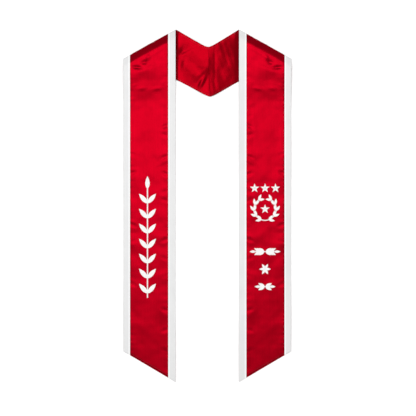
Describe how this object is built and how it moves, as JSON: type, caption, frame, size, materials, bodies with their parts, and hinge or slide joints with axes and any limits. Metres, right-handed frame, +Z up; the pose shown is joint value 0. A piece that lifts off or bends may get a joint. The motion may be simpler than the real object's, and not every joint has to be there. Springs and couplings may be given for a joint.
{
  "type": "graduation stole",
  "caption": "Satin graduation stole lying flat: slant-ended bands with white edge trims, folded at the shoulders and joined by a pointed neck strip.",
  "frame": {"origin": "middle of the stole's outline as it lies, on the table that it lies on", "axes": "+Y towards the neck, +X to the right as the picture shows it, +Z up from the table"},
  "size_m": [0.4026, 0.8461, 0.0105],
  "materials": {
    "red_satin": "polyester satin, glossy along the weave",
    "red_lining": "polyester satin lining, softly glossy",
    "white_satin": "white polyester satin band",
    "white_thread": "rayon embroidery thread, satin stitched"
  },
  "bodies": {
    "root": {"left_face": "red_satin", "left_lining": "red_lining", "left_outer_trim": "white_satin", "left_inner_trim": "white_satin", "left_neck_face": "red_satin", "left_neck_lining": "red_lining", "left_neck_outer_trim": "white_satin", "left_neck_inner_trim": "white_satin", "right_face": "red_satin", "right_lining": "red_lining", "right_outer_trim": "white_satin", "right_inner_trim": "white_satin", "right_neck_face": "red_satin", "right_neck_lining": "red_lining", "right_neck_outer_trim": "white_satin", "right_neck_inner_trim": "white_satin", "left_sprig": "white_thread", "right_star_1": "white_thread", "right_star_2": "white_thread", "right_star_3": "white_thread", "right_wreath": "white_thread", "right_wreath_star": "white_thread", "right_rosette": "white_thread", "right_sprig_upper": "white_thread", "right_sprig_lower": "white_thread"}
  },
  "joints": []
}
